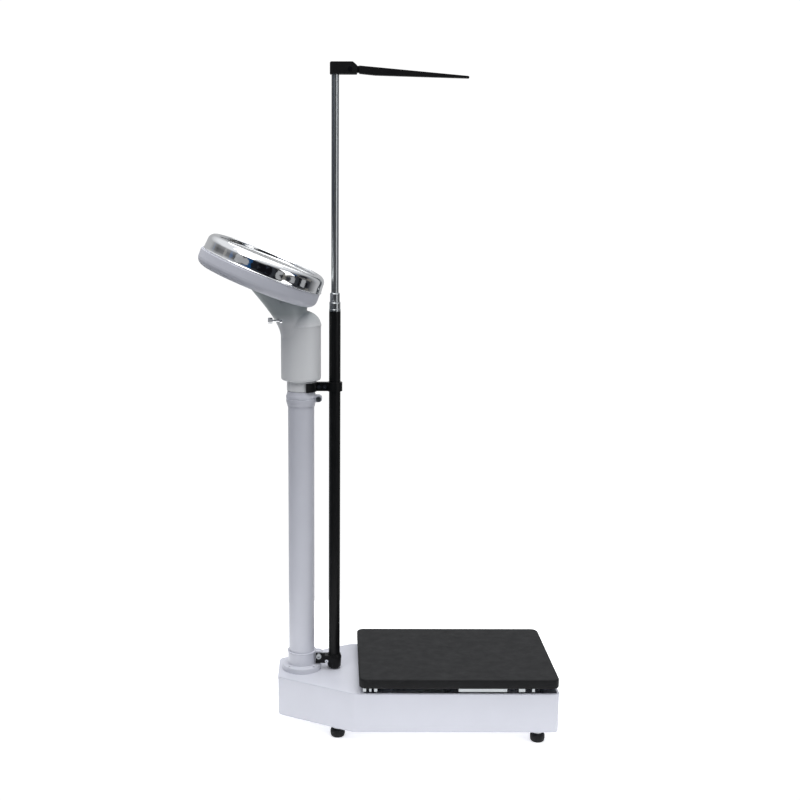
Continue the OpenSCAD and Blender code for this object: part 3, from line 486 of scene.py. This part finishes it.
def cast_head():
    """Fuses the neck with the spring housing, with a rim bead, and lets their joints run into fillets."""
    bm = bmesh.new()
    for node in ("spring_housing", "dial_neck"):
        bm.from_mesh(nodes[node].data)
    bmesh.ops.remove_doubles(bm, verts=bm.verts, dist=1e-6)
    low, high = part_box("spring_housing")
    rim_r = (high.y - low.y) / 2 - 0.7 * MM
    axis = Vector(((low.x + high.x) / 2, 0, RIM_Z))
    steps = 96
    loops = []
    for k in range(steps):
        a = 2 * math.pi * k / steps
        out = Vector((math.cos(a), math.sin(a), 0))
        loops.append([bm.verts.new(axis + out * (rim_r + x * MM) + Vector((0, 0, z * MM)))
                      for x, z in arc(0, 0, BEAD_R, BEAD_R, 0, 315, 7)])
    for k in range(steps):
        a, b = loops[k], loops[(k + 1) % steps]
        for i in range(8):
            j = (i + 1) % 8
            bm.faces.new((a[i], b[i], b[j], a[j]))
    mesh = to_mesh("head_parts", bm)
    obj = bpy.data.objects.new("head_parts", mesh)
    scene.collection.objects.link(obj)
    remesh = obj.modifiers.new("remesh", "REMESH")
    remesh.mode = "VOXEL"
    remesh.voxel_size = 1.25 * MM
    smooth = obj.modifiers.new("smooth", "SMOOTH")
    smooth.factor = 0.5
    smooth.iterations = 4
    bpy.context.view_layer.update()
    result = bpy.data.meshes.new_from_object(obj.evaluated_get(bpy.context.evaluated_depsgraph_get()))
    result.name = "head_casting"
    bpy.data.objects.remove(obj)
    return result


# its material paints the neck darker than the sleeve, as painted shade under the dial
head_casting = piece("head_casting", cast_head(), "stand", "grey_paint", HEAD_PAINTED_SHADE, angle=60)
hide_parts("dial_neck", "spring_housing")


# ---------- small hardware on the head ----------

neck_tree = BVHTree.FromObject(head_casting, bpy.context.evaluated_depsgraph_get())


def facing(spot, normal):
    """Frame at spot whose Z is normal."""
    z = Vector(normal).normalized()
    return Matrix.Translation(spot) @ z.to_track_quat("Z", "Y").to_matrix().to_4x4()


knob_low, knob_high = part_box("zero_knob")
knob_axis = Vector((0, (knob_low.y + knob_high.y) / 2, (knob_low.z + knob_high.z) / 2))
# the ray passes just under the shaft's hole
ray_start = Vector((knob_low.x - 0.05, knob_axis.y, knob_axis.z - 0.004))
entry = neck_tree.ray_cast(ray_start, Vector((1, 0, 0)))[0]
knob_collar = [(2.3, -3.0), (4.6, -3.0), (4.6, 0.6), (4.2, 1.4), (3.4, 1.8), (2.3, 1.8)]
knob_place = facing(Vector((entry.x, knob_axis.y, knob_axis.z)), (-1, 0, 0))
piece("knob_collar", lathe("knob_collar", knob_collar, knob_place, 48), "stand", "chrome")

neck_screw = [(0.3, -4.0), (2.9, -4.0), (2.9, -0.1), (2.6, 0.25), (1.7, 0.3), (1.6, -1.2), (0.3, -1.2)]
NECK_SCREW_Z = 0.832
neck_screw_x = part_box("spring_housing")[0].x + 3 * MM
for name, side in (("neck_screw_front", -1), ("neck_screw_rear", 1)):
    ray_start = Vector((neck_screw_x, side * 0.2, NECK_SCREW_Z))
    spot, normal, _, _ = neck_tree.ray_cast(ray_start, Vector((0, -side, 0)))
    piece(name, lathe(name, neck_screw, facing(spot, normal), 24), "stand", "steel")


# ---------- height scale on the inner rod ----------

index_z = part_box("mid_ferrule")[1].z
arm_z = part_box("head_block")[0].z
# directions round the rod, from +X: where the marks start and the figures' middle
TICK_START = math.radians(-30)
FIGURE_TURN = math.radians(24)


def rod_scale(prefix, node, body, top, bottom, first):
    """Centimetre marks and figures round one side of a rod; first is the value at the height top."""
    low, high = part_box(node)
    radius = (high.y - low.y) / 2 + 0.02 * MM
    centre = Vector(((low.x + high.x) / 2, 0, 0))

    def around(angle, z, extra=0.0):
        return centre + Vector(((radius + extra) * math.cos(angle), (radius + extra) * math.sin(angle), z))

    strips = bmesh.new()
    rows = []
    value = math.ceil(first)
    while top - (value - first) * 0.01 > bottom:
        z = top - (value - first) * 0.01
        wide = math.radians(26 if value % 5 == 0 else 15)
        half = 0.18 * MM
        steps = 4
        cols = [TICK_START + wide * i / steps for i in range(steps + 1)]
        low_row = [strips.verts.new(around(a, z - half)) for a in cols]
        high_row = [strips.verts.new(around(a, z + half)) for a in cols]
        for i in range(steps):
            strips.faces.new((low_row[i], low_row[i + 1], high_row[i + 1], high_row[i]))
        if value % 5 == 0:
            rows.append((str(value), z))
        value += 1
    ticks = piece(prefix + "_ticks", to_mesh(prefix + "_ticks", strips), body, "black_metal", INK)
    thick = ticks.modifiers.new("thick", "SOLIDIFY")
    thick.thickness = 0.04 * MM
    flat = lettering(prefix + "_figures", [(t, Matrix.Translation((0, z, 0))) for t, z in rows], 4.4)
    for v in flat.vertices:
        across, z, lift = v.co
        v.co = around(FIGURE_TURN + across / radius, z, lift + 0.02 * MM)
    piece(prefix + "_figures", flat, body, "black_metal", INK)


reading = (arm_z - mat_high.z) * 100
rod_top = arm_z - 6 * MM
rod_scale("inner_scale", "inner_rod", "inner_rod", rod_top,
          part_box("inner_rod")[0].z + 8 * MM, reading - (rod_top - index_z) * 100)


# ---------- stage, light and camera ----------

def floor_disc():
    """Small white disc under the scale, which glows a little so that it stays white."""
    bm = bmesh.new()
    bmesh.ops.create_circle(bm, cap_ends=True, radius=0.72, segments=96)
    mesh = to_mesh("floor", bm)
    f = Finish("floor_paper", Roughness=0.9)
    f.colour(f.noise(3, 2), (0.9, 0.9, 0.9), (0.92, 0.92, 0.92))
    f.shader.inputs["Emission Color"].default_value = (1, 1, 1, 1)
    f.shader.inputs["Emission Strength"].default_value = 0.5
    obj = bpy.data.objects.new("floor", mesh)
    scene.collection.objects.link(obj)
    mesh.materials.append(f.material)


floor_disc()


# what stands round the scale, as (share of the pattern, colour) steps: dark, blue, grey, beige and white
ROOM_STEPS = [(0.0, (0.01, 0.01, 0.013)), (0.28, (0.015, 0.10, 0.28)), (0.40, (0.05, 0.055, 0.065)),
              (0.64, (0.30, 0.29, 0.27)), (0.76, (0.02, 0.022, 0.028)), (0.92, (0.65, 0.66, 0.68))]
BACK_WALL = (0.80, 0.81, 0.83, 1)
CEILING = (1.5, 1.52, 1.56, 1)


def ramp_between(tree, value, low, high):
    """0 below low, 1 above high."""
    node = tree.nodes.new("ShaderNodeMapRange")
    node.inputs["From Min"].default_value = low
    node.inputs["From Max"].default_value = high
    tree.links.new(value, node.inputs["Value"])
    return node.outputs["Result"]


def blend_to(tree, factor, first, second):
    """Mix of a colour socket and a fixed colour."""
    node = tree.nodes.new("ShaderNodeMix")
    node.data_type = "RGBA"
    tree.links.new(factor, node.inputs["Factor"])
    tree.links.new(first, node.inputs[6])
    node.inputs[7].default_value = second
    return node.outputs[2]


def studio_world():
    """White to the camera; reflections see a dim room, a light wall behind and a bright ceiling."""
    world = bpy.data.worlds.new("studio")
    scene.world = world
    world.use_nodes = True
    tree = world.node_tree
    tree.nodes.clear()
    out = tree.nodes.new("ShaderNodeOutputWorld")
    mix = tree.nodes.new("ShaderNodeMixShader")
    path = tree.nodes.new("ShaderNodeLightPath")
    seen = tree.nodes.new("ShaderNodeBackground")
    seen.inputs["Color"].default_value = (1, 1, 1, 1)
    seen.inputs["Strength"].default_value = 1.05
    lit = tree.nodes.new("ShaderNodeBackground")
    lit.inputs["Strength"].default_value = 0.62
    place = tree.nodes.new("ShaderNodeTexCoord")
    split = tree.nodes.new("ShaderNodeSeparateXYZ")
    tree.links.new(place.outputs["Generated"], split.inputs[0])
    cells = tree.nodes.new("ShaderNodeTexVoronoi")
    cells.distance = "CHEBYCHEV"
    cells.inputs["Scale"].default_value = 5.2
    cells.inputs["Randomness"].default_value = 0.85
    tree.links.new(place.outputs["Generated"], cells.inputs["Vector"])
    tone = tree.nodes.new("ShaderNodeSeparateColor")
    tree.links.new(cells.outputs["Color"], tone.inputs[0])
    room = tree.nodes.new("ShaderNodeValToRGB")
    room.color_ramp.interpolation = "CONSTANT"
    ramp = room.color_ramp
    while len(ramp.elements) < len(ROOM_STEPS):
        ramp.elements.new(0.5)
    for element, (spot, colour) in zip(ramp.elements, ROOM_STEPS):
        element.position = spot
        element.color = (*colour, 1)
    tree.links.new(tone.outputs[0], room.inputs["Fac"])
    behind = ramp_between(tree, split.outputs["Y"], 0.2, 0.6)
    overhead = ramp_between(tree, split.outputs["Z"], 0.34, 0.70)
    walls = blend_to(tree, behind, room.outputs["Color"], BACK_WALL)
    tree.links.new(blend_to(tree, overhead, walls, CEILING), lit.inputs["Color"])
    tree.links.new(path.outputs["Is Camera Ray"], mix.inputs["Fac"])
    tree.links.new(lit.outputs[0], mix.inputs[1])
    tree.links.new(seen.outputs[0], mix.inputs[2])
    tree.links.new(mix.outputs[0], out.inputs["Surface"])


studio_world()


def softbox(name, spot, aim, size, power):
    """Rectangular area light of size metres and power watts."""
    light = bpy.data.lights.new(name, "AREA")
    light.shape = "RECTANGLE"
    light.size, light.size_y = size
    light.energy = power
    obj = bpy.data.objects.new(name, light)
    obj.location = spot
    obj.rotation_euler = (Vector(aim) - Vector(spot)).to_track_quat("-Z", "Y").to_euler()
    scene.collection.objects.link(obj)


softbox("key", (-1.0, -1.9, 3.0), (0, 0, 0.5), (1.6, 1.2), 26)
softbox("fill", (1.9, -1.6, 1.2), (0, 0, 0.5), (1.0, 1.6), 10)
softbox("back", (0.5, 1.9, 2.8), (0, 0, 0.6), (1.8, 1.2), 12)
softbox("top", (0.1, -0.1, 2.7), (0, 0, 0), (1.8, 1.4), 23)

scene.view_settings.view_transform = "Standard"
scene.view_settings.look = "None"

# camera in front of the column, looking slightly down and rolled a little
CAMERA_OFFSET = 0.0651
LOOK_DOWN = 9.62
ROLL = 0.11
camera = bpy.data.cameras.new("camera")
camera.lens = 55.2
camera.sensor_width = 36
camera.shift_x = 0.0809
camera.clip_start = 0.02
camera_object = bpy.data.objects.new("camera", camera)
column_low, column_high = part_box("column_tube")
camera_object.location = ((column_low.x + column_high.x) / 2 + CAMERA_OFFSET, -2.306, 1.032)
tilt = Matrix.Rotation(math.radians(90 - LOOK_DOWN), 3, "X")
camera_object.rotation_euler = (tilt @ Matrix.Rotation(math.radians(ROLL), 3, "Z")).to_euler()
scene.collection.objects.link(camera_object)
scene.camera = camera_object
